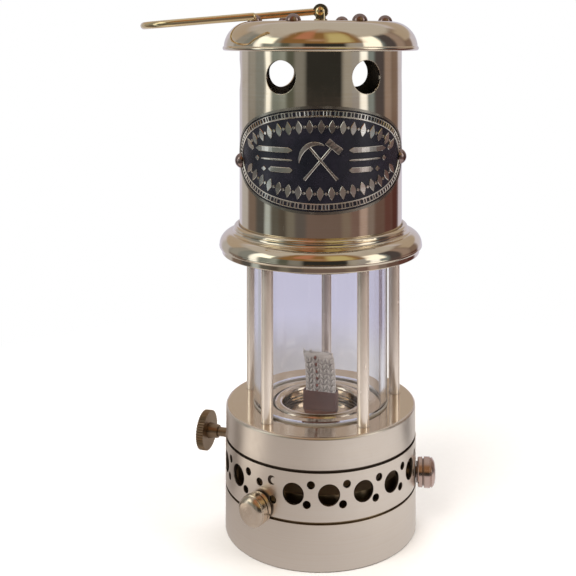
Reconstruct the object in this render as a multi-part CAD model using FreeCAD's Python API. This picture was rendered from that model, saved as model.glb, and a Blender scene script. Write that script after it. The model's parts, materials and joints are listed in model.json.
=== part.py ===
import FreeCAD, Part
import math
import os

from FreeCAD import Rotation, Vector

# A brass miner's safety lamp. Millimetres, +Z up, origin at the middle of the underside of the base.
# Azimuths are in degrees from the front (-Y) towards +X.

# Base: a fuel tank, a perforated air band and a top ring, stacked with a shadow groove between each two
BASE_R = 38.0
TOP_RING_R = 37.8
TANK_TOP_Z = 17.3
BAND_LOW_Z = 18.35
BAND_HIGH_Z = 36.0
RING_LOW_Z = 37.05
DECK_Z = 48.8
BASE_WALL = 1.3
TANK_FLOOR = 1.2
LAND_R = 37.1
NECK_R = 33.0
NECK_WALL = 1.2
NECK_TOP_Z = 25.8
TANK_LID_Z = 22.6
LID_THICK = 1.2
DECK_THICK = 1.6
SPIGOT_DEPTH = 0.7
DECK_OPENING_R = 19.4
DECK_EDGE = 0.9

# Air holes in the band
HOLES_ROUND = 18
LARGE_HOLE_R = 4.05
LARGE_HOLE_Z = 28.15
LARGE_HOLE_AZ = 4.6
SMALL_HOLE_R = 1.5
UPPER_HOLE_Z = 31.8
UPPER_HOLE_AZ = 14.6
LOWER_HOLE_Z = 24.6
LOWER_HOLE_AZ = 12.3
SCREW_HOLE_Z = 29.7
SCREW_HOLE_SHIFT = -1.2
DIMPLE_AZ = -28.3
DIMPLE_Z = 31.7
DIMPLE_DEPTH = 0.6

# Thumb screws that hold the tank
SCREW_AZIMUTHS = (-35.4, 84.6, 204.6)
SCREW_Z = 21.2
SCREW_R = 2.0
SCREW_TIP_R = 1.6
SCREW_TIP_START = 32.0
SCREW_BITE_START = 31.9
SCREW_TIP_END = 33.2
SCREW_HEAD_START = 38.8
SCREW_HEAD_END = 45.8
SCREW_HEAD_R = 5.75
BOSS_R = 4.0
BOSS_INNER = 33.25
WASHER_R = 4.0
WASHER_THICK = 0.6
CLEARANCE = 0.05

# Glass, its upper seat, its two gaskets and the pillars
GLASS_R = 26.75
GLASS_WALL = 2.4
SEAT_R = 28.4
SEAT_WALL = 1.3
SEAT_HEIGHT = 3.0
SEAT_FLOOR = 0.8
GASKET_THICK = 0.6
LOWER_GASKET_SINK = 0.3
LOWER_GASKET_RISE = 0.5
PLATE_OPENING_R = 22.4
PILLARS = 5
PILLAR_AZ = 31.0
PILLAR_R = 2.3
PILLAR_CIRCLE_R = 30.8
TENON_R = 1.5
TENON_REACH = 4.4
NUT_FLATS = 5.5
NUT_THICK = 2.4

# Bonnet: plate, rolled collar, tube, cap and its rivets
PLATE_Z = 108.7
PLATE_THICK = 1.8
PLATE_R = 38.3
TUBE_R = 32.5
TUBE_WALL = 1.0
TUBE_LOW_Z = 114.0
TUBE_HIGH_Z = 197.3
VENTS = 6
VENT_R = 6.35
VENT_Z = 179.3
VENT_AZ = 32.3
CAP_Z = 200.5
CAP_THICK = 1.0
CAP_FLAT_R = 28.7
CAP_RING_THICK = 1.2
RIVET_AZIMUTHS = (34.0, 99.0, 160.0, 215.0, 278.0, 337.0)
RIVET_CIRCLE_R = 26.5
RIVET_R = 1.5
RIVET_HEAD_R = 3.0
RIVET_HEAD_HIGH = 2.7
RIVET_TAIL_R = 2.5
RIVET_TAIL_HIGH = 1.2

# Oval nameplate, curved round the tube
NAME_Z = 148.9
NAME_HALF_WIDTH = 41.1
NAME_HALF_HEIGHT = 20.0
NAME_THICK = 0.5
NAME_RIM_WIDTH = 1.0
NAME_RIM_HIGH = 0.4
NAME_RIVETS = ((-69.5, 146.2), (69.5, 147.8))
NAME_RIVET_R = 2.95
NAME_RIVET_HIGH = 2.1
NAME_SHANK_R = 1.2

# Burner, turned about Z so that its shaft leaves through one of the large holes
BURNER_TURN = -17.0
PLUG_R = 11.0
PLUG_FLANGE_R = 14.5
PLUG_LOW_Z = 19.1
PLUG_HIGH_Z = 24.2
HOUSING_R = 11.7
HOUSING_WALL = 0.8
HOUSING_HIGH_Z = 36.1
CUP_FLOOR = 1.2
CUP_R = 16.2
CUP_WALL = 1.2
CUP_RIM_Z = 47.7
CUP_RIM_R = 1.9
CUP_GROOVES_Z = (41.2, 42.6, 44.0, 45.4)
DOME_R = 13.0
DOME_EDGE_Z = 42.4
DOME_TOP_Z = 45.5
DOME_WALL = 0.7
WICK_TUBE_SIZE = (14.0, 4.2)
WICK_TUBE_WALL = 0.4
WICK_TUBE_HIGH_Z = 52.7
WICK_SIZE = (12.7, 2.4)
WICK_LOW_Z = 9.0
WICK_HIGH_Z = 68.9
WICK_LEAN = 1.6

# Wick raiser: shaft, two star wheels and the knob, all about one line
SHAFT_Z = LARGE_HOLE_Z
SHAFT_Y = 5.1
SHAFT_R = 1.85
SHAFT_THIN_R = 1.2
SHAFT_STEP_X = -9.4
SHAFT_END_X = 11.0
WHEEL_R = 3.7
WHEEL_ROOT_R = 2.9
WHEEL_TEETH = 10
WHEEL_THICK = 1.6
WHEEL_X = 3.2
GLAND_R = 2.6
GLAND_FLATS = 5.4
GLAND_SPAN = (-14.5, -11.9, -9.0)
KNOB_X = (-53.5, -50.5)
KNOB_R = 8.0
KNOB_GROOVE = 0.45
KNOB_GROOVES = 44
KNOB_BOSS_X = -46.5

# Swivel and hook
HOOK_AZ = -97.0
HOOK_DROOP = 4.6
HOOK_TWIST = 1.9
HOOK_ROD_R = 1.4
HOOK_BOW_R = 17.0
HOOK_SHANK = 50.3
HOOK_TIP = 21.3
PIN_Z = 204.7
PIN_R = 1.2
EYE_R = 3.0
EYE_THICK = 2.4
EAR_GAP = 1.3
EAR_THICK = 1.0
EAR_R = 1.8
SWIVEL_R = 2.7
SWIVEL_BASE_Z = (200.58, 201.5)
SWIVEL_STEM_R = 1.5
SWIVEL_STEM_LOW_Z = 196.1
SWIVEL_NUT_Z = 197.0

# Radii between which a drill passes through an outer wall and nothing else
DRILL_IN = 30.0
DRILL_OUT = 40.0

ORIGIN = Vector(0, 0, 0)
UP = Vector(0, 0, 1)
ALONG_X = Vector(1, 0, 0)


def outward(azimuth):
    """Level unit vector at an azimuth."""
    angle = math.radians(azimuth)
    return Vector(math.sin(angle), -math.cos(angle), 0)


def polar(radius, azimuth, z):
    return outward(azimuth) * radius + UP * z


def disc(radius, low, high):
    return Part.makeCylinder(radius, high - low, Vector(0, 0, low), UP)


def ring(outer, inner, low, high):
    return disc(outer, low, high).cut(disc(inner, low, high))


def rod(start, end, radius):
    return Part.makeCylinder(radius, (end - start).Length, start, end - start)


def radial_rod(azimuth, z, inner, outer, radius):
    """Cylinder on a level line out from the lamp's axis."""
    return rod(polar(inner, azimuth, z), polar(outer, azimuth, z), radius)


def wall_drill(azimuth, z, radius):
    """Cutter for a hole through one side of an outer wall."""
    return radial_rod(azimuth, z, DRILL_IN, DRILL_OUT, radius)


def turned(start, *steps):
    """Solid turned about Z. A step is a point (r, z), or the middle and end points of an arc."""
    here = Vector(start[0], 0, start[1])
    edges = []
    for step in steps + (start,):
        if isinstance(step[0], tuple):
            middle = Vector(step[0][0], 0, step[0][1])
            end = Vector(step[1][0], 0, step[1][1])
            edges.append(Part.Arc(here, middle, end).toShape())
        else:
            end = Vector(step[0], 0, step[1])
            edges.append(Part.makeLine(here, end))
        here = end
    return Part.Face(Part.Wire(edges)).revolve(ORIGIN, UP, 360)


def point_outward(shape, azimuth, z=0.0):
    """Stands a shape that was turned about Z on a level line, with its +Z pointing outward."""
    turn = Rotation(UP, outward(azimuth))
    return shape.transformGeometry(FreeCAD.Placement(UP * z, turn).toMatrix())


def extruded(points, low, high):
    corners = [Vector(x, y, low) for x, y in points]
    return Part.Face(Part.makePolygon(corners + corners[:1])).extrude(UP * (high - low))


def star(outer, inner, teeth, low, high):
    """Disc whose rim is a row of straight-sided teeth."""
    points = []
    for index in range(2 * teeth):
        radius = inner if index % 2 else outer
        angle = math.pi * index / teeth
        points.append((radius * math.cos(angle), radius * math.sin(angle)))
    return extruded(points, low, high)


def hexagon(flats, low, high):
    corner = flats / math.sqrt(3)
    points = [(corner * math.cos(k * math.pi / 3), corner * math.sin(k * math.pi / 3)) for k in range(6)]
    return extruded(points, low, high)


def rounded_bar(size, corner, low, high):
    width, depth = size
    bar = Part.makeBox(width, depth, high - low, Vector(-width / 2, -depth / 2, low))
    upright = [edge for edge in bar.Edges if abs(edge.tangentAt(edge.FirstParameter).z) > 0.9]
    return bar.makeFillet(corner, upright)


def box(low, high):
    size = high - low
    return Part.makeBox(size.x, size.y, size.z, low)


def moved(shape, offset):
    copy = shape.copy()
    copy.translate(offset)
    return copy


def in_burner(shape):
    """From the burner's own frame, whose X runs along the wick's width, to the lamp's."""
    return shape.rotate(ORIGIN, UP, BURNER_TURN)


def fused(shapes):
    return shapes[0].multiFuse(shapes[1:]).removeSplitter()


def save(name, shape):
    shape.exportStep(f"parts/{name}.step")


def screw_azimuth(azimuth):
    """True where a thumb screw takes the place of a large hole."""
    return any(abs((azimuth - screw + 180) % 360 - 180) < 5 for screw in SCREW_AZIMUTHS)


def holes_round(first_azimuth):
    return [first_azimuth + 360 / HOLES_ROUND * k for k in range(HOLES_ROUND)]


def tank_cup():
    return turned(
        (0, 0), (BASE_R - 0.5, 0), ((BASE_R - 0.15, 0.15), (BASE_R, 0.5)), (BASE_R, TANK_TOP_Z),
        (BASE_R - BASE_WALL, TANK_TOP_Z), (BASE_R - BASE_WALL, TANK_FLOOR), (0, TANK_FLOOR),
    )


def tank_lid():
    """Closes the tank: a flange in the cup, the neck that the screws bite, and the burner's hole."""
    flange_r = BASE_R - BASE_WALL
    bore = NECK_R - NECK_WALL
    lid = turned(
        (flange_r, TANK_TOP_Z - 1.4), (flange_r, TANK_TOP_Z), (LAND_R, TANK_TOP_Z), (LAND_R, BAND_LOW_Z),
        (NECK_R, BAND_LOW_Z), (NECK_R, NECK_TOP_Z), (bore, NECK_TOP_Z), (bore, TANK_LID_Z),
        (PLUG_R, TANK_LID_Z), (PLUG_R, TANK_LID_Z - 2.8), (PLUG_R + 2, TANK_LID_Z - 2.8),
        (PLUG_R + 2, TANK_LID_Z - LID_THICK), (bore, TANK_LID_Z - LID_THICK), (bore, TANK_TOP_Z - 1.4),
    )
    for azimuth in SCREW_AZIMUTHS:
        lid = lid.cut(radial_rod(azimuth, SCREW_Z, SCREW_BITE_START, NECK_R + 1, SCREW_TIP_R + 0.1))
    return lid


def air_band():
    band = ring(BASE_R, BASE_R - BASE_WALL, BAND_LOW_Z, BAND_HIGH_Z)
    cutters = []
    for azimuth in holes_round(LARGE_HOLE_AZ):
        if screw_azimuth(azimuth):
            spot = azimuth + SCREW_HOLE_SHIFT
            cutters.append(wall_drill(spot, SCREW_HOLE_Z, SMALL_HOLE_R))
            cutters.append(wall_drill(azimuth, SCREW_Z, SCREW_R + CLEARANCE))
        else:
            cutters.append(wall_drill(azimuth, LARGE_HOLE_Z, LARGE_HOLE_R))
    for azimuth in holes_round(UPPER_HOLE_AZ):
        if abs(azimuth - 360 - DIMPLE_AZ) > 5:
            cutters.append(wall_drill(azimuth, UPPER_HOLE_Z, SMALL_HOLE_R))
    for azimuth in holes_round(LOWER_HOLE_AZ):
        cutters.append(wall_drill(azimuth, LOWER_HOLE_Z, SMALL_HOLE_R))
    cutters.append(drill_mark())
    return band.cut(Part.makeCompound(cutters))


def drill_mark():
    """Crescent left where a hole was started and given up."""
    floor = BASE_R - DIMPLE_DEPTH
    mark = radial_rod(DIMPLE_AZ, DIMPLE_Z, floor, DRILL_OUT, SMALL_HOLE_R + 0.2)
    return mark.cut(radial_rod(DIMPLE_AZ + 1.3, DIMPLE_Z, floor - 1, DRILL_OUT + 1, SMALL_HOLE_R - 0.3))


def band_bosses():
    """Threaded bosses inside the band, one for each thumb screw."""
    wall = ring(BASE_R - BASE_WALL, BOSS_INNER, BAND_LOW_Z, BAND_HIGH_Z)
    bosses = []
    for azimuth in SCREW_AZIMUTHS:
        boss = wall_drill(azimuth, SCREW_Z, BOSS_R).common(wall)
        bosses.append(boss.cut(wall_drill(azimuth, SCREW_Z, SCREW_R + CLEARANCE)))
    return Part.makeCompound(bosses)


def top_ring():
    """The deck: a flat top with the burner's opening, an outer wall, and a spigot down into the band."""
    spigot_r = BASE_R - BASE_WALL
    inner = spigot_r - 1.1
    body = turned(
        (DECK_OPENING_R, DECK_Z), (TOP_RING_R - DECK_EDGE, DECK_Z),
        ((TOP_RING_R - 0.29 * DECK_EDGE, DECK_Z - 0.29 * DECK_EDGE), (TOP_RING_R, DECK_Z - DECK_EDGE)),
        (TOP_RING_R, RING_LOW_Z), (spigot_r, RING_LOW_Z),
        (spigot_r, BAND_HIGH_Z - SPIGOT_DEPTH), (inner, BAND_HIGH_Z - SPIGOT_DEPTH),
        (inner, DECK_Z - DECK_THICK), (DECK_OPENING_R, DECK_Z - DECK_THICK),
    )
    land = ring(spigot_r + 0.4, spigot_r, BAND_HIGH_Z, RING_LOW_Z)
    body = body.fuse(land).removeSplitter()
    tenon_holes = round_the_pillars(disc(TENON_R, DECK_Z - 3, DECK_Z + 3))
    return body.cut(Part.makeCompound(tenon_holes + [gasket(DECK_Z - LOWER_GASKET_SINK, DECK_Z + 1)]))


def round_the_pillars(shape):
    """Copies of a shape that stands on the Z axis, one at each pillar."""
    azimuths = [PILLAR_AZ + 360 / PILLARS * k for k in range(PILLARS)]
    return [moved(shape, polar(PILLAR_CIRCLE_R, azimuth, 0)) for azimuth in azimuths]


def upper_glass_seat():
    """L-section ring under the plate that holds the top of the glass."""
    wall_r = SEAT_R - SEAT_WALL
    floor_z = PLATE_Z - SEAT_FLOOR
    low = PLATE_Z - SEAT_HEIGHT
    return turned(
        (PLATE_OPENING_R, PLATE_Z), (SEAT_R, PLATE_Z), (SEAT_R, low + 0.4), (SEAT_R - 0.4, low),
        (wall_r, low), (wall_r, floor_z), (PLATE_OPENING_R, floor_z),
    )


def gasket(low, high):
    return ring(GLASS_R + 0.1, GLASS_R - GLASS_WALL - 0.1, low, high)


def glass():
    """Cylinder with ground, slightly rounded ends."""
    low = DECK_Z + LOWER_GASKET_RISE
    high = PLATE_Z - SEAT_FLOOR - GASKET_THICK
    inner = GLASS_R - GLASS_WALL
    ease = 0.4
    return turned(
        (inner + ease, low), (GLASS_R - ease, low), (GLASS_R, low + ease), (GLASS_R, high - ease),
        (GLASS_R - ease, high), (inner + ease, high), (inner, high - ease), (inner, low + ease),
    )


def pillars():
    post = disc(PILLAR_R, DECK_Z, PLATE_Z)
    tenon = disc(TENON_R, DECK_Z - TENON_REACH, PLATE_Z + TENON_REACH)
    return Part.makeCompound(round_the_pillars(fused([post, tenon])))


def pillar_nuts(low):
    nut = hexagon(NUT_FLATS, low, low + NUT_THICK).cut(disc(TENON_R, low - 1, low + NUT_THICK + 1))
    return Part.makeCompound(round_the_pillars(nut))


def bonnet_plate():
    """Flat ring on top of the pillars, hidden by the collar."""
    plate = ring(PLATE_R, PLATE_OPENING_R, PLATE_Z, PLATE_Z + PLATE_THICK)
    return plate.cut(Part.makeCompound(round_the_pillars(disc(TENON_R, PLATE_Z - 1, PLATE_Z + 5))))


def collar():
    """Rolled flange round the foot of the tube, with a bead at its neck and a lip over the plate."""
    def at(radius, rise):
        return radius, PLATE_Z + rise

    return turned(
        at(TUBE_R, 10.7), (at(33.9, 11.1), at(34.75, 10.0)), (at(34.7, 8.9), at(35.7, 8.2)),
        (at(39.2, 6.6), at(40.45, 3.4)), (at(40.2, 2.2), at(39.4, 1.9)), at(39.4, 0.4),
        (at(39.28, 0.12), at(39.0, 0)), at(PLATE_R, 0), at(PLATE_R, 2.4),
        (at(37.6, 4.6), at(35.6, 6.1)), (at(34.4, 6.9), at(33.9, 8.0)), at(TUBE_R, 8.2),
    )


def hood_tube():
    tube = ring(TUBE_R, TUBE_R - TUBE_WALL, TUBE_LOW_Z, TUBE_HIGH_Z)
    vents = [radial_rod(VENT_AZ + 360 / VENTS * k, VENT_Z, 20, DRILL_OUT, VENT_R) for k in range(VENTS)]
    return tube.cut(Part.makeCompound(vents + nameplate_holes()))


def cap_ring():
    """Angle ring inside the top of the tube that the cap is riveted to."""
    outer = TUBE_R - TUBE_WALL
    under = CAP_Z - CAP_THICK
    body = turned(
        (PLATE_OPENING_R, under), (CAP_FLAT_R, under), (outer, under - 1.5), (outer, under - 6.5),
        (outer - 1, under - 6.5), (outer - 1, under - 2.0), (outer - 1.8, under - CAP_RING_THICK),
        (PLATE_OPENING_R, under - CAP_RING_THICK),
    )
    return body.cut(Part.makeCompound(round_the_rivets(disc(RIVET_R, under - 3, under + 1))))


def round_the_rivets(shape):
    return [moved(shape, polar(RIVET_CIRCLE_R, azimuth, 0)) for azimuth in RIVET_AZIMUTHS]


def cap():
    """Spun dish with a flat top, a wide round shoulder and a small rolled rim."""
    def at(radius, drop):
        return radius, CAP_Z - drop

    body = turned(
        at(0, 0), at(CAP_FLAT_R, 0), (at(35.8, 3.15), at(38.8, 9.8)), (at(39.25, 10.8), at(38.6, 11.5)),
        at(37.9, 11.5), at(37.8, 9.8), (at(35.0, 4.0), at(CAP_FLAT_R, CAP_THICK)), at(0, CAP_THICK),
    )
    holes = round_the_rivets(disc(RIVET_R, CAP_Z - 3, CAP_Z + 3))
    holes.append(disc(SWIVEL_STEM_R + CLEARANCE, CAP_Z - 3, CAP_Z + 3))
    return body.cut(Part.makeCompound(holes))


def dome(radius, high, low):
    """Solid spherical cap on the Z axis with its flat side at low."""
    bend = (radius ** 2 + high ** 2) / (2 * high)
    half = math.asin(radius / bend) / 2
    middle = (bend * math.sin(half), low + high - bend * (1 - math.cos(half)))
    return turned((0, low), (radius, low), (middle, (0, low + high)))


def cap_rivets():
    tail_z = CAP_Z - CAP_THICK - CAP_RING_THICK - RIVET_TAIL_HIGH
    shank = disc(RIVET_R, tail_z, CAP_Z)
    tail = disc(RIVET_TAIL_R, tail_z, tail_z + RIVET_TAIL_HIGH)
    rivet = fused([dome(RIVET_HEAD_R, RIVET_HEAD_HIGH, CAP_Z), shank, tail])
    return Part.makeCompound(round_the_rivets(rivet))


def oval_on_wall(radius, half_width, half_height):
    """Face on a cylinder about Z, bounded by an oval centred on the front."""
    wall = Part.makeCylinder(radius, 2 * NAME_Z).Faces[0].Surface
    front = 1.5 * math.pi
    reach = half_width / TUBE_R
    middle = FreeCAD.Base.Vector2d(front, NAME_Z)
    top = FreeCAD.Base.Vector2d(front, NAME_Z + half_height)
    side = FreeCAD.Base.Vector2d(front + reach, NAME_Z)
    edge = Part.Geom2d.Ellipse2d(top, side, middle).toShape(wall)
    face = Part.Face(wall, Part.Wire([edge]))
    face.validate()
    return face


def oval_plate(inner, outer, half_width, half_height):
    """Solid between two cylinders about Z, with an oval outline whose edge points outward."""
    back = oval_on_wall(inner, half_width, half_height)
    front = oval_on_wall(outer, half_width, half_height)
    side = Part.makeRuledSurface(back.Wires[0].Edges[0], front.Wires[0].Edges[0])
    shell = Part.Shell([back, front, side])
    shell.sewShape()
    return Part.Solid(shell)


def nameplate():
    """Curved oval plate with a raised rim."""
    face_r = TUBE_R + NAME_THICK
    plate = oval_plate(TUBE_R, face_r + NAME_RIM_HIGH, NAME_HALF_WIDTH, NAME_HALF_HEIGHT)
    half_width = NAME_HALF_WIDTH - NAME_RIM_WIDTH
    half_height = NAME_HALF_HEIGHT - NAME_RIM_WIDTH
    recess = oval_plate(face_r, face_r + 2, half_width, half_height)
    return plate.cut(Part.makeCompound([recess] + nameplate_holes()))


def nameplate_holes():
    return [wall_drill(azimuth, z, NAME_SHANK_R) for azimuth, z in NAME_RIVETS]


def nameplate_rivets():
    """Two round heads, one over each end of the oval, with their tails inside the tube."""
    seat = TUBE_R + NAME_THICK + NAME_RIM_HIGH
    tail = TUBE_R - TUBE_WALL - 1.0
    parts = [
        dome(NAME_RIVET_R, NAME_RIVET_HIGH, seat),
        disc(NAME_SHANK_R, tail, seat),
        disc(NAME_SHANK_R + 0.9, tail, tail + 0.9),
    ]
    rivet = fused(parts)
    return Part.makeCompound([point_outward(rivet, azimuth, z) for azimuth, z in NAME_RIVETS])


def burner_plug():
    """Threaded plug that carries the burner and screws into the tank's lid."""
    body = turned(
        (0, PLUG_LOW_Z), (PLUG_R, PLUG_LOW_Z), (PLUG_R, TANK_LID_Z), (PLUG_FLANGE_R, TANK_LID_Z),
        (PLUG_FLANGE_R, PLUG_HIGH_Z), (0, PLUG_HIGH_Z),
    )
    return in_burner(body.cut(tube_envelope()))


def tube_envelope():
    """Outside of the wick tube, filled."""
    return rounded_bar(WICK_TUBE_SIZE, 0.9, PLUG_LOW_Z, WICK_TUBE_HIGH_Z)


def burner_housing():
    """Can round the wick raiser, with air holes and the shaft's two bearing holes."""
    inner = HOUSING_R - HOUSING_WALL
    body = turned(
        (inner, PLUG_HIGH_Z), (PLUG_FLANGE_R - 1, PLUG_HIGH_Z), (PLUG_FLANGE_R - 1, PLUG_HIGH_Z + 0.8),
        (HOUSING_R, PLUG_HIGH_Z + 0.8), (HOUSING_R, HOUSING_HIGH_Z), (inner, HOUSING_HIGH_Z),
    )
    cutters = [radial_rod(22.5 + 45 * k, HOUSING_HIGH_Z - 3, 5, 20, 1.2) for k in range(8)]
    near = Vector(-20, SHAFT_Y, SHAFT_Z)
    middle = Vector(0, SHAFT_Y, SHAFT_Z)
    far = Vector(20, SHAFT_Y, SHAFT_Z)
    cutters.append(rod(near, middle, GLAND_R))
    cutters.append(rod(middle, far, SHAFT_THIN_R + CLEARANCE))
    return in_burner(body.cut(Part.makeCompound(cutters)))


def burner_cup():
    """Cup round the flame with a rim rolled outward and turned grooves inside; its floor lets air through."""
    low = HOUSING_HIGH_Z
    inner = CUP_R - CUP_WALL
    rim_r = inner + CUP_RIM_R
    body = turned(
        (0, low), (CUP_R - 1.5, low), (CUP_R, low + 1.5), (CUP_R, CUP_RIM_Z), (inner, CUP_RIM_Z),
        (inner, low + CUP_FLOOR), (0, low + CUP_FLOOR),
    )
    rim = Part.makeTorus(rim_r, CUP_RIM_R, Vector(0, 0, CUP_RIM_Z))
    body = fused([body, rim])
    cutters = [ring(inner + 0.5, inner - 0.5, z, z + 0.7) for z in CUP_GROOVES_Z]
    for k in range(12):
        spot = polar(11.4 if k % 2 else 9.6, 15 + 30 * k, low - 1)
        cutters.append(Part.makeCylinder(1.1, CUP_FLOOR + 2, spot, UP))
    cutters.append(tube_envelope())
    return in_burner(body.cut(Part.makeCompound(cutters)))


def burner_dome():
    """Spun cap round the wick tube, standing in the cup on a skirt with air holes."""
    low = HOUSING_HIGH_Z + CUP_FLOOR
    inner = DOME_R - DOME_WALL
    under = DOME_TOP_Z - DOME_WALL
    body = turned(
        (DOME_R, low), (DOME_R, DOME_EDGE_Z),
        ((DOME_R - 0.9, DOME_EDGE_Z + 1.6), (DOME_R - 3.2, DOME_EDGE_Z + 2.5)),
        (6.0, DOME_TOP_Z), (0, DOME_TOP_Z), (0, under), (6.0, under), (inner - 2.9, DOME_EDGE_Z + 1.8),
        ((inner - 0.8, DOME_EDGE_Z + 1.0), (inner, DOME_EDGE_Z)), (inner, low),
    )
    cutters = [radial_rod(15 + 30 * k, low + 2.4, 8, 20, 1.0) for k in range(12)]
    return in_burner(body.cut(Part.makeCompound(cutters + [tube_envelope()])))


def wick_tube():
    """Flat tube, open on its back side where the star wheels reach the wick."""
    inside = [size - 2 * WICK_TUBE_WALL for size in WICK_TUBE_SIZE]
    bore = rounded_bar(inside, 0.6, PLUG_LOW_Z - 1, WICK_TUBE_HIGH_Z + 1)
    window = box(Vector(-5, 0.5, PLUG_HIGH_Z + 0.1), Vector(5, 3, SHAFT_Z + WHEEL_R + 0.3))
    return in_burner(tube_envelope().cut(bore).cut(window))


def wick():
    """Flat cotton wick, upright in its tube and leaning over along its width above it."""
    half = WICK_SIZE[0] / 2
    free = WICK_HIGH_Z - WICK_TUBE_HIGH_Z

    def side(x):
        points = []
        for k in range(6):
            share = k / 5
            points.append(Vector(x - WICK_LEAN * share ** 3, 0, WICK_TUBE_HIGH_Z + free * share))
        curve = Part.BSplineCurve()
        curve.interpolate(points)
        return curve.toShape(), points

    right, right_points = side(half)
    left, left_points = side(-half)
    foot = [Vector(-half, 0, WICK_LOW_Z), Vector(half, 0, WICK_LOW_Z)]
    edges = [
        Part.makeLine(foot[1], right_points[0]),
        right,
        Part.makeLine(right_points[-1], left_points[-1]),
        left,
        Part.makeLine(left_points[0], foot[0]),
        Part.makeLine(foot[0], foot[1]),
    ]
    face = Part.Face(Part.Wire(Part.__sortEdges__(edges)))
    body = face.extrude(Vector(0, WICK_SIZE[1], 0))
    return in_burner(moved(body, Vector(0, -WICK_SIZE[1] / 2, 0)))


def along_shaft(start_x, end_x, radius):
    return rod(Vector(start_x, SHAFT_Y, SHAFT_Z), Vector(end_x, SHAFT_Y, SHAFT_Z), radius)


def onto_shaft(shape, start_x):
    """Stands a shape built upwards from z 0 on the shaft's line, starting at start_x and going +X."""
    turn = Rotation(UP, ALONG_X)
    placement = FreeCAD.Placement(Vector(start_x, SHAFT_Y, SHAFT_Z), turn)
    return shape.transformGeometry(placement.toMatrix())


def wick_shaft():
    thick = along_shaft(KNOB_X[0] + 0.5, SHAFT_STEP_X, SHAFT_R)
    thin = along_shaft(SHAFT_STEP_X, SHAFT_END_X, SHAFT_THIN_R)
    return in_burner(fused([thick, thin]))


def wick_wheels():
    """Two star wheels that bite the wick."""
    wheel = star(WHEEL_R, WHEEL_ROOT_R, WHEEL_TEETH, 0, WHEEL_THICK)
    wheel = wheel.cut(disc(SHAFT_THIN_R, -1, WHEEL_THICK + 1))
    wheels = [onto_shaft(wheel, x - WHEEL_THICK / 2) for x in (-WHEEL_X, WHEEL_X)]
    return in_burner(Part.makeCompound(wheels))


def shaft_gland():
    """Bush in the housing's wall that the shaft turns in."""
    outer, step, inner = GLAND_SPAN
    head = onto_shaft(hexagon(GLAND_FLATS, 0, step - outer), outer)
    bush = along_shaft(step, inner, GLAND_R)
    body = fused([head, bush])
    return in_burner(body.cut(along_shaft(outer - 1, inner + 1, SHAFT_R + CLEARANCE)))


def wick_knob():
    """Round knob with a grooved rim, a shallow dish in its face and a taper towards the lamp."""
    thick = KNOB_X[1] - KNOB_X[0]
    grip = star(KNOB_R, KNOB_R - KNOB_GROOVE, KNOB_GROOVES, 0, thick)
    dish = turned((0, -1), (5.6, -1), (5.6, 0.2), (5.0, 0.6), (0, 0.6))
    taper = turned((0, thick), (3.1, thick), (2.6, KNOB_BOSS_X - KNOB_X[0]), (0, KNOB_BOSS_X - KNOB_X[0]))
    body = fused([grip.cut(dish), taper])
    knob = onto_shaft(body, KNOB_X[0])
    return in_burner(knob.cut(along_shaft(KNOB_X[0] + 0.5, KNOB_BOSS_X + 1, SHAFT_R)))


def thumb_screw(azimuth):
    """Screw with a round head: a root flange, a waist groove, the grip and a domed end."""
    body = turned(
        (0, SCREW_TIP_START), (SCREW_TIP_R - 0.3, SCREW_TIP_START), (SCREW_TIP_R, SCREW_TIP_START + 0.3),
        (SCREW_TIP_R, SCREW_TIP_END), (SCREW_R, SCREW_TIP_END + 0.4), (SCREW_R, SCREW_HEAD_START),
        (5.2, SCREW_HEAD_START), (5.6, SCREW_HEAD_START + 0.4), (5.6, SCREW_HEAD_START + 1.7),
        (5.0, SCREW_HEAD_START + 1.9), (5.0, SCREW_HEAD_START + 2.3), (SCREW_HEAD_R, SCREW_HEAD_START + 2.5),
        (SCREW_HEAD_R, SCREW_HEAD_END - 2.3), (5.4, SCREW_HEAD_END - 2.1), (5.4, SCREW_HEAD_END - 1.8),
        (5.6, SCREW_HEAD_END - 1.6), ((4.6, SCREW_HEAD_END - 0.7), (3.0, SCREW_HEAD_END - 0.2)),
        ((1.5, SCREW_HEAD_END - 0.04), (0, SCREW_HEAD_END)),
    )
    return point_outward(body, azimuth, SCREW_Z)


def thumb_screw_washer(azimuth):
    high = SCREW_HEAD_START - 0.05
    return point_outward(ring(WASHER_R, SCREW_R + CLEARANCE, high - WASHER_THICK, high), azimuth, SCREW_Z)


def hook_frame(shape, twist=0.0, droop=0.0):
    """From the hook's frame, X along its shank and Y towards its bow, to the lamp's."""
    shape = shape.rotate(ORIGIN, ALONG_X, twist).rotate(ORIGIN, Vector(0, 1, 0), droop)
    shape = shape.rotate(ORIGIN, UP, HOOK_AZ - 90)
    return moved(shape, UP * PIN_Z)


def hook():
    """Shank, half-round bow and short arm of one rod, with a flat eye across the end of the shank."""
    section = Part.Face(Part.Wire(Part.makeCircle(HOOK_ROD_R, Vector(HOOK_SHANK, 0, 0), ALONG_X)))
    arm_y = 2 * HOOK_BOW_R
    rods = [
        rod(Vector(EYE_R - 0.8, 0, 0), Vector(HOOK_SHANK, 0, 0), HOOK_ROD_R),
        section.revolve(Vector(HOOK_SHANK, HOOK_BOW_R, 0), UP, 180),
        rod(Vector(HOOK_SHANK, arm_y, 0), Vector(HOOK_TIP, arm_y, 0), HOOK_ROD_R),
        Part.makeSphere(HOOK_ROD_R, Vector(HOOK_TIP, arm_y, 0)),
    ]
    bent = hook_frame(fused(rods), -HOOK_TWIST, HOOK_DROOP)
    side = Vector(0, EYE_THICK / 2, 0)
    eye = hook_frame(rod(side * -1, side, EYE_R))
    bore = hook_frame(rod(side * -2, side * 2, PIN_R + CLEARANCE))
    return bent.fuse(eye).removeSplitter().cut(bore)


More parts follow.
